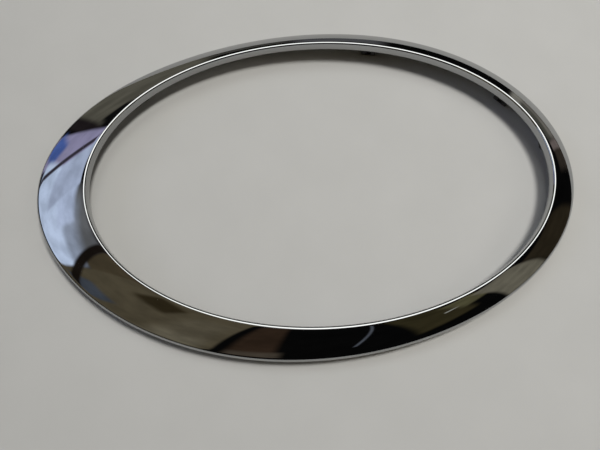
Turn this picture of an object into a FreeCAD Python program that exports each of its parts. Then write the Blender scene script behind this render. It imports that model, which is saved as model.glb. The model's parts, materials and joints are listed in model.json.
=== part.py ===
import FreeCAD, Part
import Sketcher

import math
import os

# Headlamp trim ring: a plated moulding that clips round an oval headlamp, face up.
# Millimetres.  +Z comes out of the polished face, +X runs along the opening's long axis towards the
# narrow end of the band, and the origin is under the middle of the ring, level with the clip noses.

DIMENSIONS = {
    # the elliptical opening and the lobed oval outline, seen from above
    "opening_length": 295.5,
    "opening_width": 193.0,
    "opening_centre_x": 8.8,
    "opening_centre_y": 2.1,
    "outline_length": 346.6,
    "outline_width": 225.6,
    "outline_centre_x": 1.3,
    "outline_centre_y": 0.3,
    "outline_turn": 1.31,
    "lobe_three_size": 0.0079,
    "lobe_three_angle": 50.8,
    "lobe_four_size": 0.0064,
    "lobe_four_angle": -19.8,
    # the band's section: a crest at the opening, a convex face, a round shoulder and a rim
    "crest_height": 17.0,
    "face_drop": 6.5,
    "face_crown": 0.5,
    "shoulder_drop": 3.4,
    "rim_height": 1.0,
    "lip_radius": 1.3,
    "face_thickness": 3.0,
    "wall_thickness": 2.5,
    "inner_shoulder_drop": 2.4,
    "inner_wall_bottom": 10.5,
    # the clip blades and the ribs beside them; a setback is a part of the band's width
    "blade_setback": 0.4,
    "blade_width": 11.0,
    "blade_thickness": 2.4,
    "blade_bottom": 2.4,
    "rib_thickness": 1.4,
    "rib_spacing": 9.0,
    "rib_bottom": 9.0,
    # the stepped locating pins and their rubber sleeves
    "pin_setback": 0.47,
    "boss_radius": 4.5,
    "boss_bottom": 7.0,
    "seat_radius": 3.2,
    "seat_bottom": 4.6,
    "pin_radius": 2.5,
    "pin_bottom": 1.2,
    "tip_radius": 1.8,
    "tip_bottom": 0.6,
    "sleeve_radius": 4.4,
    "sleeve_bore_radius": 3.25,
    "sleeve_bottom": 4.7,
    "sleeve_height": 2.2,
    "sleeve_edge_radius": 0.4,
    # the spring clips
    "clip_width": 10.0,
    "clip_thickness": 0.5,
    "clip_top": 9.8,
    "clip_waist": 1.5,
    "clip_waist_height": 8.3,
    "clip_shoulder": 3.3,
    "clip_shoulder_height": 5.0,
    "clip_corner_depth": 1.0,
    # the foam strips inside the rim
    "foam_width": 2.5,
    "foam_bottom": 0.3,
    "foam_height": 2.2,
    "foam_clearance": 0.15,
}

# Places round the opening, in degrees from the narrow end, anticlockwise from above.
CLIP_ANGLES = (31, 74, 141, 176, 217, 258, 303, 345)
PIN_ANGLES = (153, 9)
FOAM_SPANS = ((23, 107), (113, 197), (203, 287), (293, 377))

OUTLINE_POINTS = 48
FOAM_POINTS = 45
WIDEST_BAND = 60.0
CHANNEL_BOTTOM = -5.0
TOOL_HEIGHT = 30.0

doc = FreeCAD.newDocument("headlamp_trim_ring")
sheet = doc.addObject("Spreadsheet::Sheet", "sheet")
for row, (alias, value) in enumerate(DIMENSIONS.items(), start=1):
    sheet.set("A%d" % row, alias)
    sheet.set("B%d" % row, str(value))
    sheet.setAlias("B%d" % row, alias)
doc.recompute()


def size(alias):
    return float(sheet.get(alias))


# ---------------------------------------------------------------- the ring seen from above

def opening_point(angle):
    """A point on the elliptical edge of the lamp opening, and the outward direction there."""
    half_length = size("opening_length") / 2
    half_width = size("opening_width") / 2
    x = half_length * math.cos(angle)
    y = half_width * math.sin(angle)
    outward = FreeCAD.Vector(x / half_length ** 2, y / half_width ** 2, 0).normalize()
    centre = FreeCAD.Vector(size("opening_centre_x"), size("opening_centre_y"), 0)
    return centre + FreeCAD.Vector(x, y, 0), outward


def outside_outline(point):
    """Positive where a point lies outside the outer outline, which is an oval with soft lobes."""
    turn = math.radians(size("outline_turn"))
    x = point.x - size("outline_centre_x")
    y = point.y - size("outline_centre_y")
    along = (x * math.cos(turn) + y * math.sin(turn)) / (size("outline_length") / 2)
    across = (y * math.cos(turn) - x * math.sin(turn)) / (size("outline_width") / 2)
    angle = math.degrees(math.atan2(across, along))
    lobe_three = math.cos(math.radians(3 * (angle - size("lobe_three_angle"))))
    lobe_four = math.cos(math.radians(4 * (angle - size("lobe_four_angle"))))
    swelling = size("lobe_three_size") * lobe_three + size("lobe_four_size") * lobe_four
    return math.hypot(along, across) - 1 - swelling


def band_width(angle):
    """Distance from the opening's edge straight out to the outer outline."""
    start, outward = opening_point(angle)
    near, far = 0.0, WIDEST_BAND
    while far - near > 1e-6:
        middle = (near + far) / 2
        if outside_outline(start + outward * middle) > 0:
            far = middle
        else:
            near = middle
    return near


def curve_round_ring(distance_at, first_angle, last_angle, count, closed):
    """Smooth curve round the ring, at a distance out from the opening's edge."""
    points = []
    steps = count if closed else count - 1
    for step in range(count):
        angle = first_angle + (last_angle - first_angle) * step / steps
        start, outward = opening_point(angle)
        points.append(start + outward * distance_at(angle))
    curve = Part.BSplineCurve()
    curve.interpolate(Points=points, PeriodicFlag=closed)
    return curve


def place_on_band(angle_degrees, distance, sideways=0.0):
    """Placement on the band whose local +X points straight out from the opening."""
    start, outward = opening_point(math.radians(angle_degrees))
    tangent = FreeCAD.Vector(-outward.y, outward.x, 0)
    heading = math.degrees(math.atan2(outward.y, outward.x))
    turn = FreeCAD.Rotation(FreeCAD.Vector(0, 0, 1), heading)
    return FreeCAD.Placement(start + outward * distance + tangent * sideways, turn)


def blade_place(angle_degrees):
    width = band_width(math.radians(angle_degrees))
    return place_on_band(angle_degrees, size("blade_setback") * width)


def pin_place(angle_degrees):
    width = band_width(math.radians(angle_degrees))
    return place_on_band(angle_degrees, size("pin_setback") * width)


# ---------------------------------------------------------------- the band's section

def skin_reach(width, crest, drop, height):
    """How far out a skin of the band reaches at a height.

    The face falls from the crest ever more steeply, and a round shoulder takes over its slope and
    turns it down into a vertical side."""
    fall = size("face_drop")
    crown = size("face_crown")
    face_reach = width - drop / 2
    for _ in range(40):
        slope = math.atan((1 + crown) * fall / face_reach)
        radius = drop / math.cos(slope)
        face_reach = width - radius * (1 - math.sin(slope))
    shoulder_top = crest - fall
    shoulder_bottom = shoulder_top - drop
    if height >= shoulder_top:
        fallen = (crest - height) / fall
        straight = 1 - crown
        root = math.sqrt(straight ** 2 + 4 * crown * fallen)
        return face_reach * (root - straight) / (2 * crown)
    if height > shoulder_bottom:
        steepness = math.acos(math.cos(slope) * (height - shoulder_bottom) / drop)
        return face_reach + radius * (math.sin(steepness) - math.sin(slope))
    return width


def skin_heights(crest, drop, bottom):
    """Heights of the curves that a skin is lofted through, from the bottom up.

    They climb the side in even steps, the shoulder by its turning and the face by its reach."""
    fall = size("face_drop")
    crown = size("face_crown")
    shoulder_bottom = crest - fall - drop
    heights = [bottom + (shoulder_bottom - bottom) * part for part in (0, 0.25, 0.5, 0.75)]
    for turned in (0, 22.5, 45, 67.5, 90):
        heights.append(shoulder_bottom + drop * math.sin(math.radians(turned)))
    for part in (0.9, 0.8, 0.6, 0.4, 0.2, 0, -0.2):
        heights.append(crest - fall * ((1 - crown) * part + crown * part ** 2))
    return heights


def loft_skin(name, inset, crest, drop, bottom):
    """A solid lens under one skin of the band, with no opening in it yet."""
    sections = []
    for number, height in enumerate(skin_heights(crest, drop, bottom)):
        def reach(angle):
            return skin_reach(band_width(angle) - inset, crest, drop, height)
        section = doc.addObject("Sketcher::SketchObject", "%s_section_%d" % (name, number))
        section.addGeometry(curve_round_ring(reach, 0, 2 * math.pi, OUTLINE_POINTS, True))
        section.Placement.Base.z = height
        sections.append(section)
    loft = doc.addObject("Part::Loft", name)
    loft.Sections = sections
    loft.Solid = True
    return loft


def oval_prism(name, growth, bottom):
    """Upright prism of the opening's ellipse, grown by a distance, from a height upwards.

    Two half ellipses, so that no face of the prism closes on itself."""
    oval = doc.addObject("Sketcher::SketchObject", name + "_oval")
    ellipse = Part.Ellipse(FreeCAD.Vector(), size("opening_length") / 2 + growth,
                           size("opening_width") / 2 + growth)
    oval.addGeometry([Part.ArcOfEllipse(ellipse, 0, math.pi),
                      Part.ArcOfEllipse(ellipse, math.pi, 2 * math.pi)])
    oval.setExpression(".Placement.Base.x", "sheet.opening_centre_x")
    oval.setExpression(".Placement.Base.y", "sheet.opening_centre_y")
    oval.setExpression(".Placement.Base.z", bottom)
    prism = doc.addObject("Part::Extrusion", name)
    prism.Base = oval
    prism.DirMode = "Custom"
    prism.Dir = FreeCAD.Vector(0, 0, 1)
    prism.LengthFwd = TOOL_HEIGHT
    prism.Solid = True
    return prism


# ---------------------------------------------------------------- what stands behind the face

def upright_box(name, place, length, thickness, bottom):
    """Box standing on a height, centred on its place: length outwards, thickness along the band."""
    box = doc.addObject("Part::Box", name)
    box.Length = length
    box.Width = thickness
    box.Height = TOOL_HEIGHT
    box.Placement = place.multiply(
        FreeCAD.Placement(FreeCAD.Vector(-length / 2, -thickness / 2, 0), FreeCAD.Rotation()))
    box.setExpression(".Placement.Base.z", bottom)
    return box


def make_blade(number, angle):
    blade = upright_box("blade_%d" % number, blade_place(angle), size("blade_thickness"),
                        size("blade_width"), "sheet.blade_bottom")
    blade.setExpression("Length", "sheet.blade_thickness")
    blade.setExpression("Width", "sheet.blade_width")
    return blade


def make_rib(number, angle, side):
    """Rib across the channel beside a blade, its ends buried in the inner and outer walls."""
    length = band_width(math.radians(angle)) - size("wall_thickness")
    middle = band_width(math.radians(angle)) / 2
    place = place_on_band(angle, middle, side * size("rib_spacing"))
    name = "rib_%d_%s" % (number, "left" if side > 0 else "right")
    rib = upright_box(name, place, length, size("rib_thickness"), "sheet.rib_bottom")
    rib.setExpression("Width", "sheet.rib_thickness")
    return rib


def make_pin_step(step, number, angle):
    """One cylindrical step of a locating pin, from its lower end up into the face."""
    cylinder = doc.addObject("Part::Cylinder", "%s_%d" % (step, number))
    cylinder.setExpression("Radius", "sheet.%s_radius" % step)
    cylinder.Height = TOOL_HEIGHT
    cylinder.Placement = pin_place(angle)
    cylinder.setExpression(".Placement.Base.z", "sheet.%s_bottom" % step)
    return cylinder


def make_pin_tip(number, angle):
    """Tapered lead-in under a locating pin."""
    cone = doc.addObject("Part::Cone", "tip_%d" % number)
    cone.setExpression("Radius1", "sheet.tip_radius")
    cone.setExpression("Radius2", "sheet.pin_radius")
    cone.setExpression("Height", "sheet.pin_bottom - sheet.tip_bottom")
    cone.Placement = pin_place(angle)
    cone.setExpression(".Placement.Base.z", "sheet.tip_bottom")
    return cone


def mounting_features():
    """Blades, ribs and pins, which stand in the channel and are moulded with the face."""
    features = []
    for number, angle in enumerate(CLIP_ANGLES, start=1):
        features.append(make_blade(number, angle))
        for side in (-1, 1):
            features.append(make_rib(number, angle, side))
    for number, angle in enumerate(PIN_ANGLES, start=1):
        for step in ("boss", "seat", "pin"):
            features.append(make_pin_step(step, number, angle))
        features.append(make_pin_tip(number, angle))
    return features


# ---------------------------------------------------------------- the pieces

def lip_edges(shape):
    """Numbers of the edges where the face meets the opening."""
    return [number for number, edge in enumerate(shape.Edges, start=1)
            if edge.BoundBox.ZMin > size("crest_height") - size("lip_radius")]


def make_trim_ring():
    """The plated moulding: an outer skin, less the opening and the channel behind the face."""
    crest = size("crest_height")
    radius = size("lip_radius")
    outer_skin = loft_skin("outer_skin", 0.0, crest, size("shoulder_drop"), size("rim_height"))
    opening = oval_prism("opening", 0.0, str(CHANNEL_BOTTOM))
    annulus = doc.addObject("Part::Cut", "annulus")
    annulus.Base = outer_skin
    annulus.Tool = opening
    doc.recompute()
    rounded = doc.addObject("Part::Fillet", "rounded_lip")
    rounded.Base = annulus
    rounded.Edges = [(number, radius, radius) for number in lip_edges(annulus.Shape)]

    inner_skin = loft_skin("inner_skin", size("wall_thickness"), crest - size("face_thickness"),
                           size("inner_shoulder_drop"), CHANNEL_BOTTOM)
    inner_wall = oval_prism("inner_wall", size("wall_thickness"), "sheet.inner_wall_bottom")
    kept = doc.addObject("Part::MultiFuse", "kept_in_channel")
    kept.Shapes = [inner_wall] + mounting_features()
    channel = doc.addObject("Part::Cut", "channel")
    channel.Base = inner_skin
    channel.Tool = kept
    ring = doc.addObject("Part::Cut", "trim_ring")
    ring.Base = rounded
    ring.Tool = channel
    return ring


def body_sketch(body, name, role):
    sketch = body.newObject("Sketcher::SketchObject", name)
    planes = [plane for plane in body.Origin.OriginFeatures if plane.Role == role]
    sketch.AttachmentSupport = (planes[0], "")
    sketch.MapMode = "FlatFace"
    return sketch


def rounded_path(corners, radius):
    """Straight runs joined by tangent arcs, as a list of lines and arcs."""
    path = []
    run_start = corners[0]
    for before, corner, after in zip(corners, corners[1:], corners[2:]):
        back = (before - corner).normalize()
        ahead = (after - corner).normalize()
        inward = (back + ahead).normalize()
        half_angle = back.getAngle(ahead) / 2
        arc_start = corner + back * (radius / math.tan(half_angle))
        arc_end = corner + ahead * (radius / math.tan(half_angle))
        arc_middle = corner + inward * (radius / math.sin(half_angle) - radius)
        path.append(Part.LineSegment(run_start, arc_start))
        path.append(Part.Arc(arc_start, arc_middle, arc_end))
        run_start = arc_end
    path.append(Part.LineSegment(run_start, corners[-1]))
    return path


def add_rectangle(sketch, middle_x, length, width):
    """Rectangle on the sketch's X axis, its two sizes bound to the sheet."""
    corners = [FreeCAD.Vector(middle_x + x * size(length) / 2, y * size(width) / 2, 0)
               for x, y in ((-1, -1), (1, -1), (1, 1), (-1, 1))]
    for start, end in zip(corners, corners[1:] + corners[:1]):
        sketch.addGeometry(Part.LineSegment(start, end))
    for side in range(4):
        sketch.addConstraint(Sketcher.Constraint("Coincident", side, 2, (side + 1) % 4, 1))
    for side, kind in enumerate(("Horizontal", "Vertical", "Horizontal", "Vertical")):
        sketch.addConstraint(Sketcher.Constraint(kind, side))
    bind_constraint(sketch, Sketcher.Constraint("DistanceX", 0, 1, 0, 2, size(length)), length)
    bind_constraint(sketch, Sketcher.Constraint("DistanceY", 1, 1, 1, 2, size(width)), width)


def bind_constraint(sketch, constraint, alias):
    number = sketch.addConstraint(constraint)
    sketch.renameConstraint(number, alias)
    sketch.setExpression("Constraints.%s" % alias, "sheet.%s" % alias)


def make_clip(number, angle):
    """Spring clip: a steel strip folded round a blade, with a sprung shoulder on each side.

    The fold's radius puts the outside of the nose exactly on the ground plane."""
    body = doc.addObject("PartDesign::Body", "clip_%d" % number)
    leg = [FreeCAD.Vector(size("clip_waist"), size("clip_top"), 0),
           FreeCAD.Vector(size("clip_waist"), size("clip_waist_height"), 0),
           FreeCAD.Vector(size("clip_shoulder"), size("clip_shoulder_height"), 0)]
    depth = size("clip_corner_depth")
    nose = FreeCAD.Vector(0, -depth, 0)
    other_leg = [FreeCAD.Vector(-corner.x, corner.y, 0) for corner in reversed(leg)]
    leg_slope = math.atan2(size("clip_shoulder_height") + depth, size("clip_shoulder"))
    bend_radius = (depth + size("clip_thickness") / 2) / (1 / math.cos(leg_slope) - 1)

    spine = body_sketch(body, "clip_spine_%d" % number, "XZ_Plane")
    spine.addGeometry(rounded_path(leg + [nose] + other_leg, bend_radius))
    strip = body_sketch(body, "clip_strip_%d" % number, "XY_Plane")
    strip.setExpression(".AttachmentOffset.Base.z", "sheet.clip_top")
    add_rectangle(strip, size("clip_waist"), "clip_thickness", "clip_width")
    fold = body.newObject("PartDesign::AdditivePipe", "clip_fold_%d" % number)
    fold.Profile = strip
    fold.Spine = spine
    body.Placement = blade_place(angle)
    return body


def make_sleeve(number, angle):
    """Rubber sleeve pushed up a locating pin's seat, against its boss."""
    body = doc.addObject("PartDesign::Body", "pin_sleeve_%d" % number)
    rings = body_sketch(body, "sleeve_rings_%d" % number, "XY_Plane")
    rings.setExpression(".AttachmentOffset.Base.z", "sheet.sleeve_bottom")
    for circle, alias in enumerate(("sleeve_radius", "sleeve_bore_radius")):
        rings.addGeometry(Part.Circle(FreeCAD.Vector(), FreeCAD.Vector(0, 0, 1), size(alias)))
        rings.addConstraint(Sketcher.Constraint("Coincident", circle, 3, -1, 1))
        bind_constraint(rings, Sketcher.Constraint("Radius", circle, size(alias)), alias)
    pad = body.newObject("PartDesign::Pad", "sleeve_pad_%d" % number)
    pad.Profile = rings
    pad.setExpression("Length", "sheet.sleeve_height")
    doc.recompute()
    outer_edges = ["Edge%d" % position for position, edge in enumerate(pad.Shape.Edges, start=1)
                   if edge.isClosed() and edge.BoundBox.XLength > 2 * size("sleeve_bore_radius") + 0.1]
    rounding = body.newObject("PartDesign::Fillet", "sleeve_rounding_%d" % number)
    rounding.Base = (pad, outer_edges)
    rounding.setExpression("Radius", "sheet.sleeve_edge_radius")
    body.Placement = pin_place(angle)
    return body


def make_foam(number, span):
    """One length of foam strip, stuck to the inside of the outer wall just behind the rim."""
    body = doc.addObject("PartDesign::Body", "foam_strip_%d" % number)
    first, last = (math.radians(angle) for angle in span)
    outer_inset = size("wall_thickness") + size("foam_clearance")
    sides = []
    for inset in (outer_inset, outer_inset + size("foam_width")):
        def reach(angle):
            return band_width(angle) - inset
        sides.append(curve_round_ring(reach, first, last, FOAM_POINTS, False).toShape())
    ends = [Part.LineSegment(sides[0].valueAt(at(sides[0])), sides[1].valueAt(at(sides[1])))
            for at in (lambda side: side.FirstParameter, lambda side: side.LastParameter)]
    strip = body_sketch(body, "foam_outline_%d" % number, "XY_Plane")
    strip.setExpression(".AttachmentOffset.Base.z", "sheet.foam_bottom")
    strip.addGeometry([sides[0].Curve, ends[1], sides[1].Curve, ends[0]])
    pad = body.newObject("PartDesign::Pad", "foam_pad_%d" % number)
    pad.Profile = strip
    pad.setExpression("Length", "sheet.foam_height")
    return body


def check_and_export(pieces):
    """Stop if any object failed, then write each piece's solid to its own file."""
    for item in doc.Objects:
        if "Invalid" in item.State or "Error" in item.State:
            raise RuntimeError("%s is in state %s" % (item.Name, item.State))
    os.makedirs("parts", exist_ok=True)
    for piece in pieces:
        shape = piece.Shape
        if shape.isNull() or not shape.isValid() or len(shape.Solids) != 1:
            raise RuntimeError("%s has no single valid solid" % piece.Label)
        shape.exportStep("parts/%s.step" % piece.Label)
        box = shape.optimalBoundingBox(False)
        print("%-14s %9.1f mm3  x %7.2f %7.2f  y %7.2f %7.2f  z %6.2f %6.2f" % (
            piece.Label, shape.Volume, box.XMin, box.XMax, box.YMin, box.YMax, box.ZMin, box.ZMax))


pieces = [make_trim_ring()]
pieces += [make_clip(number, angle) for number, angle in enumerate(CLIP_ANGLES, start=1)]
pieces += [make_sleeve(number, angle) for number, angle in enumerate(PIN_ANGLES, start=1)]
pieces += [make_foam(number, span) for number, span in enumerate(FOAM_SPANS, start=1)]
doc.recompute()
check_and_export(pieces)
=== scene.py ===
import bmesh
import bpy
import functools
import json
import math
from mathutils import Matrix, Vector, noise


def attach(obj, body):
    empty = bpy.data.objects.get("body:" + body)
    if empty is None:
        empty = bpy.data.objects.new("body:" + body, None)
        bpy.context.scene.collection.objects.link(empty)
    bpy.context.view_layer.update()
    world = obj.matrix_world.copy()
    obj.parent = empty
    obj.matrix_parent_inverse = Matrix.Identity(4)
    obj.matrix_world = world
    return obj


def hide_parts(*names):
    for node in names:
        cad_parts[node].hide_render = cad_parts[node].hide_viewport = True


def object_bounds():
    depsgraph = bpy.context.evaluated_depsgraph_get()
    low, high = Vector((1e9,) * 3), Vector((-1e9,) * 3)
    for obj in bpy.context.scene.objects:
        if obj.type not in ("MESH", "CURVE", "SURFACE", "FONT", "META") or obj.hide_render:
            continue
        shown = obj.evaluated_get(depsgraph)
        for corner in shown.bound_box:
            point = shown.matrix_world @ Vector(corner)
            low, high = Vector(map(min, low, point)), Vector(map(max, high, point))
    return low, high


# Oval headlamp trim ring: a bright-chrome moulding with spring clips, locating pins and foam
# strips behind it, lying face up on a pale floor.
# Metres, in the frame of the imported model: +Z comes out of the polished face, +X runs along the
# opening's long axis towards the narrow end of the band.

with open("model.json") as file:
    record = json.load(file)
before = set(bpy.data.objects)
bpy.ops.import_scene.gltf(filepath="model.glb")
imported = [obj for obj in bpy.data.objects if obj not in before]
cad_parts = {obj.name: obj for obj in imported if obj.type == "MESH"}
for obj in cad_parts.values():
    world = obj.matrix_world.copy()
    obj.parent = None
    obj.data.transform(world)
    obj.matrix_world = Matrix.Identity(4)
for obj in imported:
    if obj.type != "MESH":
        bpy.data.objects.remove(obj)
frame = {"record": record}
cad_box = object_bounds()

MM = 0.001
FLOOR_LEVEL = cad_box[0][2]
MOUNTS = {mount["name"]: mount for mount in frame["record"]["mounts"]}

# The opening's ellipse and the lobed oval outline, seen from above.
OPENING_CENTRE = Vector(MOUNTS["lamp_opening"]["pos_m"][:2])
OPENING_LENGTH = 295.5 * MM
OPENING_WIDTH = 193.0 * MM
OUTLINE_LENGTH = 346.6 * MM
OUTLINE_WIDTH = 225.6 * MM
OUTLINE_CENTRE = Vector((1.3 * MM, 0.3 * MM))
OUTLINE_TURN = math.radians(1.31)
LOBE_THREE_SIZE = 0.0079
LOBE_THREE_ANGLE = math.radians(50.8)
LOBE_FOUR_SIZE = 0.0064
LOBE_FOUR_ANGLE = math.radians(-19.8)

# How far out from the opening the outline is looked for, and how closely.
WIDEST_BAND = 60 * MM
BAND_TOLERANCE = 0.00001 * MM

# The band's section.  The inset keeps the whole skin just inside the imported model's box, and the
# rounds are how often a tangent point and its slope are worked out from each other.
CREST_HEIGHT = 17.0 * MM
FACE_DROP = 6.5 * MM
FACE_CROWN = 0.5
SHOULDER_DROP = 3.4 * MM
RIM_HEIGHT = 1.0 * MM
LIP_RADIUS = 1.3 * MM
FACE_THICKNESS = 3.0 * MM
WALL_THICKNESS = 2.5 * MM
INNER_SHOULDER_DROP = 2.4 * MM
INNER_WALL_BOTTOM = 10.5 * MM
ROOT_DEPTH = 1.0 * MM
SKIN_INSET = 0.03 * MM
EDGE_ROUNDING = 0.35 * MM
TANGENT_ROUNDS = 20

# How finely the moulding's skin is divided, round the ring and along its section.
RING_STATIONS = 720
LIP_STEPS = 12
FACE_STEPS, SHOULDER_STEPS = 16, 14
INNER_FACE_STEPS, INNER_SHOULDER_STEPS = 12, 10

# Places round the opening, in degrees from the narrow end, anticlockwise from above.
CLIP_ANGLES = (31, 74, 141, 176, 217, 258, 303, 345)
PIN_ANGLES = (153, 9)
FOAM_SPANS = ((23, 107), (113, 197), (203, 287), (293, 377))

# What stands behind the face.  A setback is a part of the band's width, out from the opening, and
# the taper is the direction up the side of a pin's tip.
BLADE_SETBACK = 0.4
PIN_SETBACK = 0.47
BLADE_WIDTH = 11.0 * MM
BLADE_THICKNESS = 2.4 * MM
BLADE_BOTTOM = 2.4 * MM
BLADE_LEAD = BLADE_THICKNESS / 5
BLADE_ROUNDING = BLADE_THICKNESS / 12
RIB_THICKNESS = 1.4 * MM
RIB_SPACING = 9.0 * MM
RIB_BOTTOM = 9.0 * MM
RIB_ROUNDING = RIB_THICKNESS / 8
RIB_STEPS = 24
BOSS_RADIUS, BOSS_BOTTOM = 4.5 * MM, 7.0 * MM
SEAT_RADIUS, SEAT_BOTTOM = 3.2 * MM, 4.6 * MM
PIN_RADIUS, PIN_BOTTOM = 2.5 * MM, 1.2 * MM
TIP_RADIUS, TIP_BOTTOM = 1.8 * MM, 0.6 * MM
TIP_TAPER = (0.6, 0.8)
PIN_ROUNDING = EDGE_ROUNDING / 2
SHARP_EDGE = math.radians(35)

# The spring clips.  Waist and shoulder are half widths across the fold.  Each leg has a lanced
# window, columns of strip beside it, and a barb.  The skin is a little thinner than the strip.
CLIP_WIDTH = 10.0 * MM
CLIP_THICKNESS = 0.5 * MM
CLIP_SKIN = CLIP_THICKNESS * 0.98
CLIP_TOP = 9.8 * MM
CLIP_WAIST, CLIP_WAIST_HEIGHT = 1.5 * MM, 8.3 * MM
CLIP_SHOULDER, CLIP_SHOULDER_HEIGHT = 3.3 * MM, 5.0 * MM
CLIP_CORNER_DEPTH = 1.0 * MM
CLIP_ROLLED_EDGE = CLIP_THICKNESS / 6
CLIP_SHARP_EDGE = math.radians(50)
WINDOW_LOW = CLIP_SHOULDER_HEIGHT - 2.4 * MM
WINDOW_HIGH = CLIP_SHOULDER_HEIGHT + 1.6 * MM
WINDOW_HALF = CLIP_WIDTH * 0.17
LEG_COLUMN = CLIP_WIDTH * 0.36
WINDOW_COLUMN = 2
BARB_HALF = WINDOW_HALF * 0.8
BARB_ROOT = Vector((CLIP_SHOULDER * 0.82, WINDOW_HIGH - 0.3 * MM))
BARB_TIP = Vector((BLADE_THICKNESS / 2 + CLIP_THICKNESS * 0.6, WINDOW_LOW + 1.2 * MM))
BARB_STEPS = 3

# The rubber sleeves, with grooves at parts of their height, and the foam strips.
SLEEVE_RADIUS = 4.4 * MM
SLEEVE_BORE_RADIUS = 3.25 * MM
SLEEVE_BOTTOM = 4.7 * MM
SLEEVE_HEIGHT = 2.2 * MM
SLEEVE_ROUNDING = 0.4 * MM
SLEEVE_BORE_ROUNDING = SLEEVE_ROUNDING / 3
SLEEVE_GROOVE = SLEEVE_ROUNDING / 2
SLEEVE_GROOVE_PARTS = (0.4, 0.65)
FOAM_INSET = WALL_THICKNESS + 0.15 * MM
FOAM_WIDTH = 2.5 * MM
FOAM_BOTTOM = 0.3 * MM
FOAM_HEIGHT = 2.2 * MM
FOAM_CORNER = FOAM_WIDTH / 10
FOAM_STATIONS = 260
FOAM_WIDE_PARTS = (0.3, 0.5, 0.7)
FOAM_HIGH_PARTS = (0.35, 0.65)
FOAM_DENT = 0.06 * MM
FOAM_DENT_SPACING = 0.8 * MM


# ---------------------------------------------------------------- the ring seen from above

def opening_point(angle):
    """A point on the opening's edge, and the outward direction there."""
    half_length = OPENING_LENGTH / 2
    half_width = OPENING_WIDTH / 2
    x = half_length * math.cos(angle)
    y = half_width * math.sin(angle)
    outward = Vector((x / half_length ** 2, y / half_width ** 2)).normalized()
    return OPENING_CENTRE + Vector((x, y)), outward


def outside_outline(point):
    """Positive where a point lies outside the outer outline."""
    x, y = point - OUTLINE_CENTRE
    along = (x * math.cos(OUTLINE_TURN) + y * math.sin(OUTLINE_TURN)) / (OUTLINE_LENGTH / 2)
    across = (y * math.cos(OUTLINE_TURN) - x * math.sin(OUTLINE_TURN)) / (OUTLINE_WIDTH / 2)
    angle = math.atan2(across, along)
    swelling = LOBE_THREE_SIZE * math.cos(3 * (angle - LOBE_THREE_ANGLE))
    swelling += LOBE_FOUR_SIZE * math.cos(4 * (angle - LOBE_FOUR_ANGLE))
    return math.hypot(along, across) - 1 - swelling


@functools.lru_cache(maxsize=None)
def band_width(angle):
    """Distance from the opening's edge straight out to the skin's outer side."""
    start, outward = opening_point(angle)
    near, far = 0.0, WIDEST_BAND
    while far - near > BAND_TOLERANCE:
        middle = (near + far) / 2
        if outside_outline(start + outward * middle) > 0:
            far = middle
        else:
            near = middle
    return near - SKIN_INSET


def angle_along(angle, distance):
    """The angle of the place a short distance further along the opening's edge."""
    run = math.hypot(OPENING_LENGTH / 2 * math.sin(angle), OPENING_WIDTH / 2 * math.cos(angle))
    return angle + distance / run


def place_on_band(angle, distance):
    """Matrix whose +X points straight out from the opening and whose +Y runs along the band."""
    start, outward = opening_point(angle)
    heading = math.atan2(outward.y, outward.x)
    return Matrix.Translation((start + outward * distance).to_3d()) @ Matrix.Rotation(heading, 4, "Z")


def blade_place(angle):
    return place_on_band(angle, BLADE_SETBACK * band_width(angle))


def pin_place(angle):
    return place_on_band(angle, PIN_SETBACK * band_width(angle))


# ---------------------------------------------------------------- the band's section

@functools.lru_cache(maxsize=None)
def skin_shape(width, drop):
    """How far out a skin's face reaches, its slope there, and its shoulder's radius."""
    face_reach = width - drop / 2
    for _ in range(TANGENT_ROUNDS):
        slope = math.atan((1 + FACE_CROWN) * FACE_DROP / face_reach)
        radius = drop / math.cos(slope)
        face_reach = width - radius * (1 - math.sin(slope))
    return face_reach, slope, radius


def skin_height(distance, width, crest, drop):
    """Height of a skin's face or shoulder at a distance out from the opening."""
    face_reach, slope, radius = skin_shape(width, drop)
    if distance <= face_reach:
        part = distance / face_reach
        return crest - FACE_DROP * ((1 - FACE_CROWN) * part + FACE_CROWN * part ** 2)
    steepness = math.asin(min(1.0, math.sin(slope) + (distance - face_reach) / radius))
    return crest - FACE_DROP - drop + radius * math.cos(steepness)


def skin_curve(width, crest, drop, start, face_steps, shoulder_steps):
    """The face from a start distance outwards, and the shoulder down to the vertical side."""
    face_reach, slope, radius = skin_shape(width, drop)
    points = []
    for step in range(face_steps):
        distance = start + (face_reach - start) * step / face_steps
        points.append((distance, skin_height(distance, width, crest, drop)))
    bottom = crest - FACE_DROP - drop
    for step in range(shoulder_steps + 1):
        turned = slope + (math.pi / 2 - slope) * step / shoulder_steps
        points.append((face_reach + radius * (math.sin(turned) - math.sin(slope)),
                       bottom + radius * math.cos(turned)))
    return points


def lip_curve(width):
    """Round from the opening's wall onto the face, tangent to both, and where it meets the face."""
    face_reach, _, _ = skin_shape(width, SHOULDER_DROP)
    slope = 0.0
    for _ in range(TANGENT_ROUNDS):
        meeting = LIP_RADIUS * (1 + math.sin(slope))
        steepening = 1 - FACE_CROWN + 2 * FACE_CROWN * meeting / face_reach
        slope = math.atan(FACE_DROP / face_reach * steepening)
    meeting_height = skin_height(meeting, width, CREST_HEIGHT, SHOULDER_DROP)
    centre_height = meeting_height - LIP_RADIUS * math.cos(slope)
    points = []
    for step in range(LIP_STEPS + 1):
        turned = math.pi / 2 - (math.pi / 2 + slope) * step / LIP_STEPS
        points.append((LIP_RADIUS - LIP_RADIUS * math.sin(turned),
                       centre_height + LIP_RADIUS * math.cos(turned)))
    return points, meeting


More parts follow.
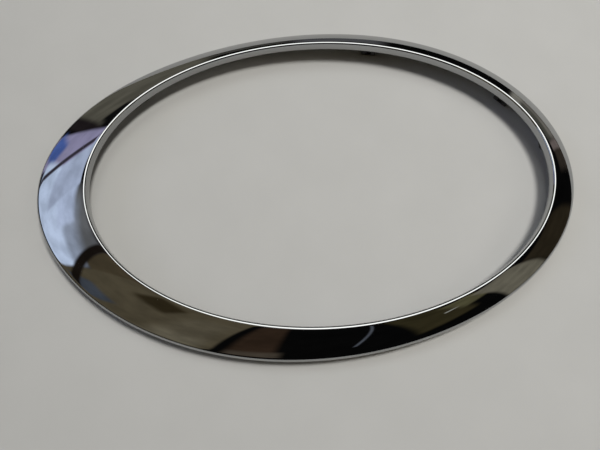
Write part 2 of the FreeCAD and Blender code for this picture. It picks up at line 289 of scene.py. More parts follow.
def rounded_corner(corner, back, ahead, radius, steps=4):
    """A right-angled corner, rounded; back and ahead are unit directions along its two sides."""
    points = []
    for step in range(steps + 1):
        turned = math.pi / 2 * step / steps
        behind = radius * (1 - math.sin(turned))
        beyond = radius * (1 - math.cos(turned))
        points.append((corner[0] + back[0] * behind + ahead[0] * beyond,
                       corner[1] + back[1] * behind + ahead[1] * beyond))
    return points


def band_section(width):
    """Closed section of the moulding as (distance out, height, 1 where it is behind the face)."""
    lip, meeting = lip_curve(width)
    show = lip[:-1]
    show += skin_curve(width, CREST_HEIGHT, SHOULDER_DROP, meeting, FACE_STEPS, SHOULDER_STEPS)
    show += rounded_corner((width, RIM_HEIGHT), (0, 1), (-1, 0), EDGE_ROUNDING)
    inner_width = width - WALL_THICKNESS
    back = rounded_corner((inner_width, RIM_HEIGHT), (1, 0), (0, 1), EDGE_ROUNDING)
    back += reversed(skin_curve(inner_width, CREST_HEIGHT - FACE_THICKNESS, INNER_SHOULDER_DROP,
                                WALL_THICKNESS, INNER_FACE_STEPS, INNER_SHOULDER_STEPS))
    foot = rounded_corner((WALL_THICKNESS, INNER_WALL_BOTTOM), (0, 1), (-1, 0), EDGE_ROUNDING)
    foot += rounded_corner((0, INNER_WALL_BOTTOM), (1, 0), (0, 1), EDGE_ROUNDING)
    return ([(distance, height, 0.0) for distance, height in show]
            + [(distance, height, 1.0) for distance, height in back]
            + [(distance, height, 0.0) for distance, height in foot])


def root_height(distance, width):
    """Height a little inside the face's underside, where what stands behind it is rooted."""
    inner_width = width - WALL_THICKNESS
    under = skin_height(distance, inner_width, CREST_HEIGHT - FACE_THICKNESS, INNER_SHOULDER_DROP)
    return under + ROOT_DEPTH


# ---------------------------------------------------------------- mesh helpers

def mesh_from(name, points, faces):
    mesh = bpy.data.meshes.new(name)
    mesh.from_pydata(points, [], faces)
    shape = bmesh.new()
    shape.from_mesh(mesh)
    bmesh.ops.recalc_face_normals(shape, faces=shape.faces)
    shape.to_mesh(mesh)
    shape.free()
    return mesh


def ring_faces(rows, columns, closed_rows):
    """Quads over rows of points, each row a closed loop; the last row may join the first."""
    faces = []
    for row in range(rows if closed_rows else rows - 1):
        following = (row + 1) % rows
        for column in range(columns):
            beside = (column + 1) % columns
            faces.append((row * columns + column, row * columns + beside,
                          following * columns + beside, following * columns + column))
    return faces


def end_faces(rows, columns):
    """The two faces that close the first and the last of such rows."""
    last = (rows - 1) * columns
    return [tuple(range(columns)), tuple(range(last, last + columns))]


def add_piece(name, mesh, material, smooth=True):
    """A finished piece: in its material and riding on the one body."""
    piece = bpy.data.objects.new(name, mesh)
    bpy.context.scene.collection.objects.link(piece)
    mesh.materials.append(material)
    if smooth:
        mesh.shade_smooth()
    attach(piece, "root")
    return piece


def with_modifiers(mesh, add_modifiers):
    """The mesh as its modifiers leave it."""
    bench = bpy.data.objects.new("bench", mesh)
    bpy.context.scene.collection.objects.link(bench)
    add_modifiers(bench)
    bpy.context.view_layer.update()
    finished = bpy.data.meshes.new_from_object(
        bench.evaluated_get(bpy.context.evaluated_depsgraph_get()))
    bpy.data.objects.remove(bench)
    return finished


def add_bevel(bench, width, segments, sharp_edge):
    """Rounds the edges that are sharper than an angle."""
    rounding = bench.modifiers.new("rounding", "BEVEL")
    rounding.width = width
    rounding.segments = segments
    rounding.limit_method = "ANGLE"
    rounding.angle_limit = sharp_edge


def bevelled(mesh, width):
    return with_modifiers(mesh, lambda bench: add_bevel(bench, width, 3, SHARP_EDGE))


def prism(name, outline, place, half_thickness):
    """Flat outline of (x, z) in a place's own axes, thickened both ways along its Y."""
    points = [place @ Vector((x, side * half_thickness, z)) for side in (-1, 1) for x, z in outline]
    count = len(outline)
    faces = [tuple(range(count)), tuple(range(2 * count - 1, count - 1, -1))]
    for corner in range(count):
        beside = (corner + 1) % count
        faces.append((corner, beside, count + beside, count + corner))
    return mesh_from(name, points, faces)


def turned_point(place, radius, height, part):
    """A point turned by a part of a full turn about a place's own Z."""
    angle = 2 * math.pi * part
    return place @ Vector((radius * math.cos(angle), radius * math.sin(angle), height))


def turned_post(name, outline, place, segments=64):
    """Solid turned about its own Z from an outline of (radius, height), closed by two discs."""
    points = [turned_point(place, radius, height, segment / segments)
              for radius, height in outline for segment in range(segments)]
    faces = ring_faces(len(outline), segments, False) + end_faces(len(outline), segments)
    return mesh_from(name, points, faces)


def turned_ring(name, outline, place, segments=64):
    """Ring turned about its own Z from a closed outline of (radius, height)."""
    points = [turned_point(place, radius, height, segment / segments)
              for segment in range(segments) for radius, height in outline]
    return mesh_from(name, points, ring_faces(segments, len(outline), True))


# ---------------------------------------------------------------- the moulding

def make_ring(material):
    """The moulding's skin, swept once round the opening, its back marked for the material."""
    points = []
    behind = []
    for station in range(RING_STATIONS):
        angle = 2 * math.pi * station / RING_STATIONS
        start, outward = opening_point(angle)
        section = band_section(band_width(angle))
        for distance, height, back in section:
            spot = start + outward * distance
            points.append((spot.x, spot.y, height))
            behind.append(back)
    mesh = mesh_from("trim_ring_shell", points, ring_faces(RING_STATIONS, len(section), True))
    mark = mesh.attributes.new("behind_face", "FLOAT", "POINT")
    mark.data.foreach_set("value", behind)
    ring = add_piece("trim_ring_shell", mesh, material)
    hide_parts("trim_ring")


def make_blade(number, angle, material):
    """Upright blade that a spring clip is pushed onto, with a lead-in along its lower edges."""
    width = band_width(angle)
    top = root_height(BLADE_SETBACK * width, width)
    half = BLADE_THICKNESS / 2
    outline = [(-half, top), (half, top), (half, BLADE_BOTTOM + 2 * BLADE_LEAD),
               (half - BLADE_LEAD, BLADE_BOTTOM), (BLADE_LEAD - half, BLADE_BOTTOM),
               (-half, BLADE_BOTTOM + 2 * BLADE_LEAD)]
    name = "clip_blade_%d" % number
    mesh = prism(name, outline, blade_place(angle), BLADE_WIDTH / 2)
    add_piece(name, bevelled(mesh, BLADE_ROUNDING), material)


def make_rib(number, side, angle, material):
    """Rib across the channel beside a blade; its level lower edge is just below the inner wall's."""
    rib_angle = angle_along(angle, side * RIB_SPACING)
    width = band_width(rib_angle)
    inner_end = WALL_THICKNESS / 2
    outline = [(inner_end, RIB_BOTTOM)]
    rooted = [inner_end + (width - 2 * inner_end) * step / RIB_STEPS for step in range(RIB_STEPS + 1)]
    outline += [(distance, root_height(distance, width)) for distance in reversed(rooted)
                if root_height(distance, width) > RIB_BOTTOM]
    name = "channel_rib_%d_%s" % (number, "left" if side > 0 else "right")
    mesh = prism(name, outline, place_on_band(rib_angle, 0.0), RIB_THICKNESS / 2)
    add_piece(name, bevelled(mesh, RIB_ROUNDING), material)


def make_pin(number, angle, material):
    """Stepped locating pin with rounded shoulders and a tapered tip."""
    width = band_width(angle)
    outline = [(BOSS_RADIUS, root_height(width / 2, width))]
    for radius, bottom, next_radius in ((BOSS_RADIUS, BOSS_BOTTOM, SEAT_RADIUS),
                                        (SEAT_RADIUS, SEAT_BOTTOM, PIN_RADIUS)):
        outline += rounded_corner((radius, bottom), (0, 1), (-1, 0), PIN_ROUNDING)
        outline.append((next_radius, bottom))
    outline.append((PIN_RADIUS, PIN_BOTTOM))
    outline += rounded_corner((TIP_RADIUS, TIP_BOTTOM), TIP_TAPER, (-1, 0), PIN_ROUNDING)
    name = "locating_pin_%d" % number
    mesh = turned_post(name, outline, pin_place(angle))
    add_piece(name, mesh, material, smooth=False)


# ---------------------------------------------------------------- the clips, sleeves and foam

def rounded_path(corners, radius, arc_steps=10):
    """Points along straight runs joined by arcs tangent to them."""
    points = [corners[0]]
    for before, corner, after in zip(corners, corners[1:], corners[2:]):
        back = (before - corner).normalized()
        ahead = (after - corner).normalized()
        half_angle = back.angle(ahead) / 2
        centre = corner + (back + ahead).normalized() * (radius / math.sin(half_angle))
        start = corner + back * (radius / math.tan(half_angle)) - centre
        end = corner + ahead * (radius / math.tan(half_angle)) - centre
        heading = math.atan2(start.y, start.x)
        turn = math.remainder(math.atan2(end.y, end.x) - heading, 2 * math.pi)
        for step in range(arc_steps + 1):
            angle = heading + turn * step / arc_steps
            points.append(centre + Vector((radius * math.cos(angle), radius * math.sin(angle))))
    points.append(corners[-1])
    return points


def split_runs(points, longest):
    """The same path with its long straight runs divided."""
    divided = [points[0]]
    for start, end in zip(points, points[1:]):
        pieces = max(1, math.ceil((end - start).length / longest))
        divided += [start.lerp(end, piece / pieces) for piece in range(1, pieces + 1)]
    return divided


def clip_path():
    """Middle line of the folded strip, from one waist down round the nose and up to the other."""
    leg = [Vector((CLIP_WAIST, CLIP_TOP)), Vector((CLIP_WAIST, CLIP_WAIST_HEIGHT)),
           Vector((CLIP_SHOULDER, CLIP_SHOULDER_HEIGHT))]
    nose = Vector((0, -CLIP_CORNER_DEPTH))
    slope = math.atan2(CLIP_SHOULDER_HEIGHT + CLIP_CORNER_DEPTH, CLIP_SHOULDER)
    bend = (CLIP_CORNER_DEPTH + CLIP_THICKNESS / 2) / (1 / math.cos(slope) - 1)
    corners = leg + [nose] + [Vector((-corner.x, corner.y)) for corner in reversed(leg)]
    return split_runs(rounded_path(corners, bend), CLIP_THICKNESS)


def clip_legs(place):
    """The folded strip as a grid, with a window lanced in each leg."""
    path = clip_path()
    across = [-CLIP_WIDTH / 2, -LEG_COLUMN, -WINDOW_HALF, WINDOW_HALF, LEG_COLUMN, CLIP_WIDTH / 2]
    count = len(across)
    points = [place @ Vector((spot.x, y, spot.y)) for spot in path for y in across]
    faces = []
    for row, (spot, next_spot) in enumerate(zip(path, path[1:])):
        in_window = WINDOW_LOW < (spot.y + next_spot.y) / 2 < WINDOW_HIGH
        for column in range(count - 1):
            if column == WINDOW_COLUMN and in_window:
                continue
            corner = row * count + column
            faces.append((corner, corner + 1, corner + count + 1, corner + count))
    return points, faces


def clip_barb(place, side, first):
    """Barb bent in from the top of one leg's window; first is the number of its first point."""
    mirror = Vector((side, 1))
    points = []
    for step in range(BARB_STEPS + 1):
        spot = (BARB_ROOT * mirror).lerp(BARB_TIP * mirror, step / BARB_STEPS)
        points += [place @ Vector((spot.x, y, spot.y)) for y in (-BARB_HALF, BARB_HALF)]
    faces = [(first + 2 * step, first + 2 * step + 1, first + 2 * step + 3, first + 2 * step + 2)
             for step in range(BARB_STEPS)]
    return points, faces


def add_strip_thickness(bench):
    """The steel's thickness, both ways from the middle line, and its rolled edges."""
    solid = bench.modifiers.new("thickness", "SOLIDIFY")
    solid.thickness = CLIP_SKIN
    solid.offset = 0.0
    solid.use_even_offset = True
    add_bevel(bench, CLIP_ROLLED_EDGE, 2, CLIP_SHARP_EDGE)


def make_clip(number, angle, material):
    """Spring clip folded from a steel strip, its edges slightly rolled from blanking."""
    place = blade_place(angle)
    points, faces = clip_legs(place)
    for side in (-1, 1):
        barb_points, barb_faces = clip_barb(place, side, len(points))
        points += barb_points
        faces += barb_faces
    name = "spring_clip_%d" % number
    mesh = with_modifiers(mesh_from(name, points, faces), add_strip_thickness)
    clip = add_piece(name, mesh, material)
    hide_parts("clip_%d" % number)


def make_sleeve(number, angle, material):
    """Rubber sleeve with two shallow grooves round its outside."""
    low, high = SLEEVE_BOTTOM, SLEEVE_BOTTOM + SLEEVE_HEIGHT
    outline = rounded_corner((SLEEVE_RADIUS, low), (-1, 0), (0, 1), SLEEVE_ROUNDING)
    for part in SLEEVE_GROOVE_PARTS:
        middle = low + SLEEVE_HEIGHT * part
        outline += [(SLEEVE_RADIUS, middle - SLEEVE_GROOVE), (SLEEVE_RADIUS - SLEEVE_GROOVE, middle),
                    (SLEEVE_RADIUS, middle + SLEEVE_GROOVE)]
    outline += rounded_corner((SLEEVE_RADIUS, high), (0, -1), (-1, 0), SLEEVE_ROUNDING)
    outline += rounded_corner((SLEEVE_BORE_RADIUS, high), (1, 0), (0, -1), SLEEVE_BORE_ROUNDING)
    outline += rounded_corner((SLEEVE_BORE_RADIUS, low), (0, 1), (1, 0), SLEEVE_BORE_ROUNDING)
    mesh = turned_ring("rubber_sleeve_%d" % number, outline, pin_place(angle))
    sleeve = add_piece("rubber_sleeve_%d" % number, mesh, material)
    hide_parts("pin_sleeve_%d" % number)


def foam_section():
    """Closed section of a foam strip as (distance in from its outer side, height)."""
    low, high = FOAM_BOTTOM, FOAM_BOTTOM + FOAM_HEIGHT
    outline = rounded_corner((0, low), (0, 1), (1, 0), FOAM_CORNER, 2)
    outline += [(FOAM_WIDTH * part, low) for part in FOAM_WIDE_PARTS]
    outline += rounded_corner((FOAM_WIDTH, low), (-1, 0), (0, 1), FOAM_CORNER, 2)
    outline += [(FOAM_WIDTH, low + FOAM_HEIGHT * part) for part in FOAM_HIGH_PARTS]
    outline += rounded_corner((FOAM_WIDTH, high), (0, -1), (-1, 0), FOAM_CORNER, 2)
    outline += [(FOAM_WIDTH * part, high) for part in reversed(FOAM_WIDE_PARTS)]
    outline += rounded_corner((0, high), (1, 0), (0, -1), FOAM_CORNER, 2)
    outline += [(0, low + FOAM_HEIGHT * part) for part in reversed(FOAM_HIGH_PARTS)]
    return outline


def foam_point(angle, inward, height):
    """A point of a strip's surface, dented a little towards the middle of its section."""
    start, outward = opening_point(angle)
    spot = (start + outward * (band_width(angle) - FOAM_INSET - inward)).to_3d()
    spot.z = height
    middle = Vector((FOAM_WIDTH / 2, FOAM_BOTTOM + FOAM_HEIGHT / 2))
    to_middle = (middle - Vector((inward, height))).normalized()
    dent = FOAM_DENT * (1 + noise.noise(spot / FOAM_DENT_SPACING))
    return spot + (outward * -to_middle.x * dent).to_3d() + Vector((0, 0, to_middle.y * dent))


def make_foam(number, span, material):
    """Foam strip whose cut surface is slightly uneven from its cells."""
    first, last = (math.radians(angle) for angle in span)
    outline = foam_section()
    points = []
    for station in range(FOAM_STATIONS):
        angle = first + (last - first) * station / (FOAM_STATIONS - 1)
        points += [foam_point(angle, inward, height) for inward, height in outline]
    faces = ring_faces(FOAM_STATIONS, len(outline), False) + end_faces(FOAM_STATIONS, len(outline))
    mesh = mesh_from("seal_foam_%d" % number, points, faces)
    foam = add_piece("seal_foam_%d" % number, mesh, material)
    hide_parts("foam_strip_%d" % number)


# ---------------------------------------------------------------- shader helpers

def new_material(name):
    material = bpy.data.materials.new(name)
    material.use_nodes = True
    return material, material.node_tree, material.node_tree.nodes["Principled BSDF"]


def noise_field(tree, scale, detail, stretch=(1, 1, 1)):
    """Noise over the piece's own coordinates; scale is features per metre."""
    place = tree.nodes.new("ShaderNodeTexCoord")
    mapping = tree.nodes.new("ShaderNodeMapping")
    mapping.inputs["Scale"].default_value = stretch
    field = tree.nodes.new("ShaderNodeTexNoise")
    field.inputs["Scale"].default_value = scale
    field.inputs["Detail"].default_value = detail
    tree.links.new(place.outputs["Object"], mapping.inputs["Vector"])
    tree.links.new(mapping.outputs["Vector"], field.inputs["Vector"])
    return field.outputs["Fac"]


def cell_field(tree, scale):
    """Distance from the nearest of a scatter of points; scale is points per metre."""
    place = tree.nodes.new("ShaderNodeTexCoord")
    field = tree.nodes.new("ShaderNodeTexVoronoi")
    field.inputs["Scale"].default_value = scale
    tree.links.new(place.outputs["Object"], field.inputs["Vector"])
    return field.outputs["Distance"]


def ranged(tree, value, given, wanted):
    """The value with the given range of (low, high) moved onto the wanted one, and kept in it."""
    node = tree.nodes.new("ShaderNodeMapRange")
    for name, number in zip(("From Min", "From Max", "To Min", "To Max"), (*given, *wanted)):
        node.inputs[name].default_value = number
    tree.links.new(value, node.inputs["Value"])
    return node.outputs["Result"]


def wire_math(tree, operation, *values):
    """Maths on sockets and plain numbers."""
    node = tree.nodes.new("ShaderNodeMath")
    node.operation = operation
    for socket, value in zip(node.inputs, values):
        if isinstance(value, (int, float)):
            socket.default_value = value
        else:
            tree.links.new(value, socket)
    return node.outputs[0]


def mixed_number(tree, factor, first, second):
    node = tree.nodes.new("ShaderNodeMix")
    for name, value in (("Factor", factor), ("A", first), ("B", second)):
        tree.links.new(value, node.inputs[name])
    return node.outputs["Result"]


def mixed_colour(tree, factor, first, second):
    """Mixes two colours, each a socket or a plain (red, green, blue)."""
    node = tree.nodes.new("ShaderNodeMix")
    node.data_type = "RGBA"
    tree.links.new(factor, node.inputs["Factor"])
    for socket, colour in ((node.inputs["A"], first), (node.inputs["B"], second)):
        if isinstance(colour, tuple):
            socket.default_value = (*colour, 1)
        else:
            tree.links.new(colour, socket)
    return node.outputs["Result"]


def finish_shader(tree, shader, colour, roughness, height, relief):
    """Links a surface's colour, roughness and bump; relief is the bump's depth in metres."""
    bump = tree.nodes.new("ShaderNodeBump")
    bump.inputs["Distance"].default_value = relief
    bump.inputs["Strength"].default_value = 1.0
    tree.links.new(height, bump.inputs["Height"])
    tree.links.new(colour, shader.inputs["Base Color"])
    tree.links.new(roughness, shader.inputs["Roughness"])
    tree.links.new(bump.outputs["Normal"], shader.inputs["Normal"])


# ---------------------------------------------------------------- materials

CHROME_RELIEF = 0.1 * MM
STEEL_RELIEF = 0.02 * MM
RUBBER_RELIEF = 0.02 * MM
FOAM_RELIEF = 0.08 * MM


def plating_peel(tree):
    """Height of the plating's faint orange peel."""
    return wire_math(tree, "MULTIPLY", noise_field(tree, scale=260, detail=1), 0.004)


def show_chrome(tree):
    """Colour and roughness of mirror-bright plating with handling marks, hairlines and dust."""
    cloud = noise_field(tree, scale=30, detail=3)
    colour = mixed_colour(tree, cloud, (0.370, 0.378, 0.385), (0.405, 0.409, 0.409))
    handled = noise_field(tree, scale=55, detail=5)
    hairline = noise_field(tree, scale=1500, detail=1, stretch=(1, 0.02, 0.02))
    speck = cell_field(tree, scale=190)
    handling = ranged(tree, handled, (0.45, 0.75), (0.008, 0.032))
    hairlines = ranged(tree, hairline, (0.74, 0.78), (0.0, 0.05))
    dust = ranged(tree, speck, (0.035, 0.055), (0.22, 0.0))
    return colour, wire_math(tree, "ADD", wire_math(tree, "ADD", handling, hairlines), dust)


def rough_chrome(tree):
    """Colour, roughness and height of duller plating over the grain of the moulded back."""
    grain = noise_field(tree, scale=900, detail=4)
    colour = mixed_colour(tree, grain, (0.28, 0.285, 0.29), (0.40, 0.40, 0.39))
    roughness = ranged(tree, noise_field(tree, scale=220, detail=4), (0.3, 0.7), (0.20, 0.36))
    return colour, roughness, wire_math(tree, "MULTIPLY", grain, 0.25)


def moulding_chrome():
    """The moulding's skin: bright where it shows, rough where the mesh is marked as its back."""
    material, tree, shader = new_material("bright_chrome")
    shader.inputs["Metallic"].default_value = 1.0
    mark = tree.nodes.new("ShaderNodeAttribute")
    mark.attribute_name = "behind_face"
    behind = mark.outputs["Fac"]
    colour, roughness = show_chrome(tree)
    back_colour, back_roughness, grain = rough_chrome(tree)
    height = wire_math(tree, "ADD", plating_peel(tree), wire_math(tree, "MULTIPLY", grain, behind))
    finish_shader(tree, shader, mixed_colour(tree, behind, colour, back_colour),
                  mixed_number(tree, behind, roughness, back_roughness), height, CHROME_RELIEF)
    return material


def back_chrome():
    """The rough plating alone, for what stands behind the face."""
    material, tree, shader = new_material("back_chrome")
    shader.inputs["Metallic"].default_value = 1.0
    colour, roughness, grain = rough_chrome(tree)
    height = wire_math(tree, "ADD", plating_peel(tree), grain)
    finish_shader(tree, shader, colour, roughness, height, CHROME_RELIEF)
    return material


def clip_steel():
    """Black phosphated spring steel with an oiled, slightly brown mottle."""
    material, tree, shader = new_material("black_phosphate_steel")
    shader.inputs["Metallic"].default_value = 0.35
    mottle = noise_field(tree, scale=1400, detail=5)
    tone = ranged(tree, mottle, (0.35, 0.7), (0.0, 1.0))
    colour = mixed_colour(tree, tone, (0.010, 0.010, 0.011), (0.042, 0.038, 0.034))
    roughness = ranged(tree, noise_field(tree, scale=700, detail=4), (0.3, 0.7), (0.34, 0.58))
    finish_shader(tree, shader, colour, roughness, mottle, STEEL_RELIEF)
    return material


def sleeve_rubber():
    """Moulded black rubber with a grey bloom."""
    material, tree, shader = new_material("matt_black_rubber")
    bloom = ranged(tree, noise_field(tree, scale=420, detail=5), (0.42, 0.72), (0.0, 1.0))
    colour = mixed_colour(tree, bloom, (0.012, 0.012, 0.012), (0.045, 0.045, 0.046))
    roughness = ranged(tree, bloom, (0.0, 1.0), (0.55, 0.8))
    finish_shader(tree, shader, colour, roughness, noise_field(tree, scale=2600, detail=3),
                  RUBBER_RELIEF)
    return material


def seal_foam():
    """Closed-cell foam: fine round cells whose pits are dented by the bump and darkened with painted
    shade.
    """
    material, tree, shader = new_material("closed_cell_foam")
    pits_with_painted_shade = ranged(tree, cell_field(tree, scale=3200), (0.05, 0.6), (0.0, 1.0))
    # Painted shade: the colour is darker in each cell's pit, where shade would fall in the recess.
    colour = mixed_colour(tree, pits_with_painted_shade, (0.016, 0.016, 0.017), (0.060, 0.060, 0.063))
    roughness = ranged(tree, noise_field(tree, scale=900, detail=3), (0.3, 0.7), (0.8, 0.98))
    finish_shader(tree, shader, colour, roughness, pits_with_painted_shade, FOAM_RELIEF)
    return material


# ---------------------------------------------------------------- camera, floor and lights

# Hand-held view from above the near side.
CAMERA_PLACE = (-0.0101, -0.1157, 0.278)
CAMERA_PITCH_DOWN = math.radians(72.5)
CAMERA_TURN_CLOCKWISE = math.radians(2.9)
CAMERA_LENS, CAMERA_SENSOR = 27.0, 36.0
CAMERA_CLIP_START = 0.01

FLOOR_HALF_SIZE = 1.5
FLOOR_COLOURS = ((0.540, 0.534, 0.512), (0.590, 0.582, 0.560))
FLOOR_ROUGHNESS = 0.85

# Soft panels as (name, azimuth, elevation, distance, diameter, watts, colour).
SOFT_LIGHTS = (
    ("main_softbox", 30, 70, 1.8, 0.45, 19.5, (1.0, 0.99, 0.965)),
    ("right_softbox", 355, 36, 1.8, 0.7, 2.4, (1.0, 0.985, 0.96)),
    ("far_softbox", 95, 58, 2.0, 0.9, 3.8, (0.97, 0.98, 1.0)),
)


def towards(azimuth, elevation):
    """Unit direction at an azimuth, anticlockwise from +X, and an elevation, both in degrees."""
    turn, rise = math.radians(azimuth), math.radians(elevation)
    return Vector((math.cos(rise) * math.cos(turn), math.cos(rise) * math.sin(turn), math.sin(rise)))


def aim_camera():
    camera_data = bpy.data.cameras.new("view_camera")
    camera_data.lens = CAMERA_LENS
    camera_data.sensor_width = CAMERA_SENSOR
    camera_data.clip_start = CAMERA_CLIP_START
    camera = bpy.data.objects.new("view_camera", camera_data)
    bpy.context.scene.collection.objects.link(camera)
    camera.location = CAMERA_PLACE
    camera.rotation_euler = (math.pi / 2 - CAMERA_PITCH_DOWN, 0.0, -CAMERA_TURN_CLOCKWISE)
    bpy.context.scene.camera = camera


def make_floor():
    half = FLOOR_HALF_SIZE
    corners = [(-half, -half), (half, -half), (half, half), (-half, half)]
    mesh = bpy.data.meshes.new("floor")
    mesh.from_pydata([(x, y, FLOOR_LEVEL) for x, y in corners], [], [(0, 1, 2, 3)])
    floor = bpy.data.objects.new("floor", mesh)
    bpy.context.scene.collection.objects.link(floor)
    material, tree, shader = new_material("pale_floor")
    colour = mixed_colour(tree, noise_field(tree, scale=25, detail=4), *FLOOR_COLOURS)
    tree.links.new(colour, shader.inputs["Base Color"])
    shader.inputs["Roughness"].default_value = FLOOR_ROUGHNESS
    mesh.materials.append(material)


def soft_light(name, azimuth, elevation, distance, diameter, watts, colour):
    """Large soft panel aimed at the origin, which no surface mirrors."""
    light_data = bpy.data.lights.new(name, "AREA")
    light_data.shape = "DISK"
    light_data.size = diameter
    light_data.energy = watts
    light_data.color = colour
    light = bpy.data.objects.new(name, light_data)
    bpy.context.scene.collection.objects.link(light)
    aim = towards(azimuth, elevation)
    light.location = aim * distance
    light.rotation_euler = aim.to_track_quat("Z", "Y").to_euler()
    light.visible_glossy = False


# ---------------------------------------------------------------- the room that the chrome mirrors

# Each patch is its azimuth, elevation, half width, half height and softness in degrees, its lean in
# azimuth per degree of elevation, and its colour.  Later patches cover earlier ones.
ROOM_BASE = (0.003, 0.003, 0.003)
ROOM_PATCHES = (
    # pale ground all round
    (0, -48, 200, 46, 1.5, 0.0, (0.28, 0.277, 0.268)),
    # far side: a grey upper wall above dim shelves and dark posts
    (75, 54, 50, 12, 6, 0.0, (0.32, 0.34, 0.31)),
    (82, 6, 8, 9, 2, 0.0, (0.085, 0.085, 0.090)),
    (99, 3, 8, 6, 2, 0.0, (0.060, 0.058, 0.052)),
    (120, 10, 14, 22, 2.5, 0.0, (0.115, 0.108, 0.085)),
    (128, 33, 4, 5, 1.5, 0.0, (0.006, 0.006, 0.006)),
    (135, 25, 2, 20, 1, 0.0, (0.018, 0.014, 0.015)),
    # left side: a lavender panel with a blue corner, then a bright pale blue sheet
    (143, 26, 7, 16, 1, -0.3, (0.33, 0.31, 0.48)),
    (144, 19, 4, 5, 1.5, 0.3, (0.08, 0.14, 0.42)),
    (166, 46, 17, 8, 4, -0.5, (0.15, 0.155, 0.165)),
    (172, 40, 14, 5, 3.5, -0.5, (0.38, 0.44, 0.57)),
    (169, 30, 21, 8.5, 1.5, 0.0, (0.66, 0.78, 1.02)),
    (159, 40, 9, 4, 1.5, -0.8, (0.60, 0.70, 0.94)),
    (148, 38, 9, 7, 1, -1.2, (0.50, 0.58, 0.78)),
    (146, 30, 1.5, 9, 0.8, -1.2, (0.045, 0.040, 0.055)),
    # near left: olive panels with dark edges
    (184, 54, 12, 10, 1, -1.0, (0.070, 0.055, 0.033)),
    (214, 45, 27.5, 32, 1, 0.0, (0.095, 0.079, 0.050)),
    (229, 42, 8, 20, 4, 0.0, (0.118, 0.101, 0.068)),
    (229, 34, 8, 9, 4, 0.0, (0.158, 0.139, 0.098)),
    (197, 36, 6, 4, 1.5, 0.6, (0.060, 0.070, 0.088)),
    (206, 58, 8, 5, 2, 0.0, (0.035, 0.026, 0.013)),
    (181, 44, 2.5, 12, 1, -1.1, (0.012, 0.009, 0.007)),
    # near side: a dark gap with a thin grey cable
    (253, 50, 7, 24, 2, 0.0, (0.036, 0.022, 0.014)),
    (254, 34, 8, 5, 2, 0.0, (0.075, 0.060, 0.045)),
    (290, 49, 0.6, 13, 0.5, 0.5, (0.09, 0.10, 0.12)),
    # near right: an olive panel with a pale slit, then brown walls
    (310, 44, 9, 18, 2, 0.0, (0.036, 0.030, 0.014)),
    (316, 41, 3, 0.7, 0.4, 0.0, (0.40, 0.40, 0.36)),
    (323, 43, 6, 8, 2, 0.0, (0.100, 0.092, 0.048)),
    (334, 26, 8, 20, 1, 0.0, (0.170, 0.156, 0.118)),
    (353, 15, 11, 20, 2, 0.0, (0.026, 0.020, 0.012)),
    # far right: low pale boxes between thin bright posts
    (24, 6, 6, 12, 2, 0.0, (0.036, 0.029, 0.023)),
    (37, 3, 8, 8, 2, 0.0, (0.175, 0.163, 0.143)),
    (37, 15, 8, 5, 2, 0.0, (0.085, 0.085, 0.070)),
    (44, 12, 1.5, 12, 0.8, 0.0, (0.24, 0.23, 0.20)),
    (27, 10, 1.5, 9, 0.8, 0.0, (0.17, 0.14, 0.13)),
)

# Soft unevenness: the noise's own range, and the brightness that it is moved onto.
CREASE_SCALE, CREASE_DETAIL = 9.0, 3.0
CREASE_RANGE, CREASE_BRIGHTNESS = (0.35, 0.65), (1.28, 1.74)

# Round patch of light overhead, in degrees, and the plain backdrop behind the floor.
CEILING_AZIMUTH, CEILING_ELEVATION = 60, 78
CEILING_RADIUS, CEILING_SOFTNESS = 26, 5
CEILING_COLOUR = (2.8, 2.8, 2.72)
BACKDROP_COLOUR = (0.50, 0.50, 0.485)


def soft_step(tree, value, edge, softness):
    """1 where value is below edge, 0 above it, with a soft change; the angles are in degrees."""
    node = tree.nodes.new("ShaderNodeMapRange")
    node.interpolation_type = "SMOOTHSTEP"
    node.inputs["From Min"].default_value = math.radians(edge - softness)
    node.inputs["From Max"].default_value = math.radians(edge + softness)
    node.inputs["To Min"].default_value = 1.0
    node.inputs["To Max"].default_value = 0.0
    tree.links.new(value, node.inputs["Value"])
    return node.outputs["Result"]


def room_patch(tree, azimuth, elevation, below, patch):
    """Lays one soft-edged patch of colour over the surroundings so far."""
    middle, height, half_width, half_height, softness, lean, colour = patch
    rise = wire_math(tree, "SUBTRACT", elevation, math.radians(height))
    leaning = wire_math(tree, "MULTIPLY", rise, lean)
    turned = wire_math(tree, "SUBTRACT", wire_math(tree, "SUBTRACT", azimuth, math.radians(middle)),
                       leaning)
    wrapped = wire_math(tree, "WRAP", turned, math.pi, -math.pi)
    inside = wire_math(tree, "MULTIPLY",
                       soft_step(tree, wire_math(tree, "ABSOLUTE", wrapped), half_width, softness),
                       soft_step(tree, wire_math(tree, "ABSOLUTE", rise), half_height, softness))
    return mixed_colour(tree, inside, below, colour)


def ceiling_light(tree, direction, mirrored, below):
    """Round soft patch of light overhead, which shows only in reflections."""
    dot = tree.nodes.new("ShaderNodeVectorMath")
    dot.operation = "DOT_PRODUCT"
    dot.inputs[1].default_value = towards(CEILING_AZIMUTH, CEILING_ELEVATION)
    tree.links.new(direction, dot.inputs[0])
    away = wire_math(tree, "ARCCOSINE", dot.outputs["Value"])
    inside = wire_math(tree, "MULTIPLY", soft_step(tree, away, CEILING_RADIUS, CEILING_SOFTNESS),
                       mirrored)
    return mixed_colour(tree, inside, below, CEILING_COLOUR)


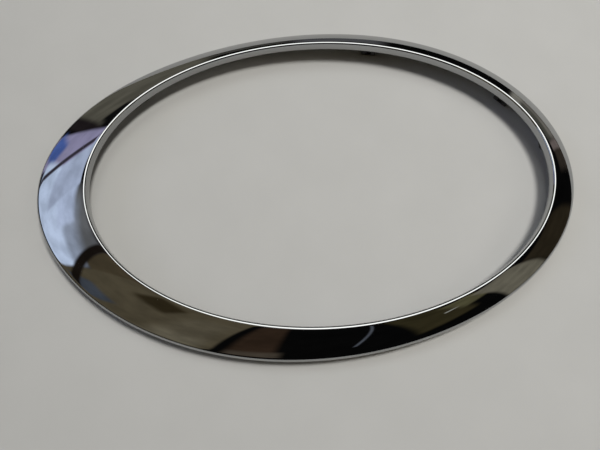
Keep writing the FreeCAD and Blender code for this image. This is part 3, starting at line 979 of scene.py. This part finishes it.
def uneven(tree, direction, colour):
    """Breaks the flat patches up softly, as creases and shadows do in a real room."""
    creases = tree.nodes.new("ShaderNodeTexNoise")
    creases.inputs["Scale"].default_value = CREASE_SCALE
    creases.inputs["Detail"].default_value = CREASE_DETAIL
    tree.links.new(direction, creases.inputs["Vector"])
    scaled = tree.nodes.new("ShaderNodeVectorMath")
    scaled.operation = "SCALE"
    tree.links.new(colour, scaled.inputs[0])
    tree.links.new(ranged(tree, creases.outputs["Fac"], CREASE_RANGE, CREASE_BRIGHTNESS),
                   scaled.inputs["Scale"])
    return scaled.outputs["Vector"]


def paint_world():
    """The room that lights the scene and shows in the chrome, and the backdrop that the camera sees."""
    world = bpy.data.worlds.new("studio")
    world.use_nodes = True
    bpy.context.scene.world = world
    tree = world.node_tree
    direction = tree.nodes.new("ShaderNodeTexCoord").outputs["Generated"]
    parts = tree.nodes.new("ShaderNodeSeparateXYZ")
    tree.links.new(direction, parts.inputs[0])
    azimuth = wire_math(tree, "ARCTAN2", parts.outputs["Y"], parts.outputs["X"])
    elevation = wire_math(tree, "ARCSINE", parts.outputs["Z"])
    base = tree.nodes.new("ShaderNodeRGB")
    base.outputs[0].default_value = (*ROOM_BASE, 1)
    room = base.outputs[0]
    for patch in ROOM_PATCHES:
        room = room_patch(tree, azimuth, elevation, room, patch)
    ray = tree.nodes.new("ShaderNodeLightPath")
    room = ceiling_light(tree, direction, ray.outputs["Is Glossy Ray"],
                         uneven(tree, direction, room))
    seen = mixed_colour(tree, ray.outputs["Is Camera Ray"], room, BACKDROP_COLOUR)
    tree.links.new(seen, tree.nodes["Background"].inputs["Color"])


# ---------------------------------------------------------------- the whole scene

def set_stage():
    bpy.context.scene.view_settings.view_transform = "Standard"
    aim_camera()
    paint_world()
    make_floor()
    for light in SOFT_LIGHTS:
        soft_light(*light)


def make_trim_ring():
    make_ring(moulding_chrome())
    plating, steel = back_chrome(), clip_steel()
    for number, degrees in enumerate(CLIP_ANGLES, start=1):
        angle = math.radians(degrees)
        make_blade(number, angle, plating)
        for side in (-1, 1):
            make_rib(number, side, angle, plating)
        make_clip(number, angle, steel)
    rubber = sleeve_rubber()
    for number, degrees in enumerate(PIN_ANGLES, start=1):
        make_pin(number, math.radians(degrees), plating)
        make_sleeve(number, math.radians(degrees), rubber)
    foam = seal_foam()
    for number, span in enumerate(FOAM_SPANS, start=1):
        make_foam(number, span, foam)


set_stage()
make_trim_ring()
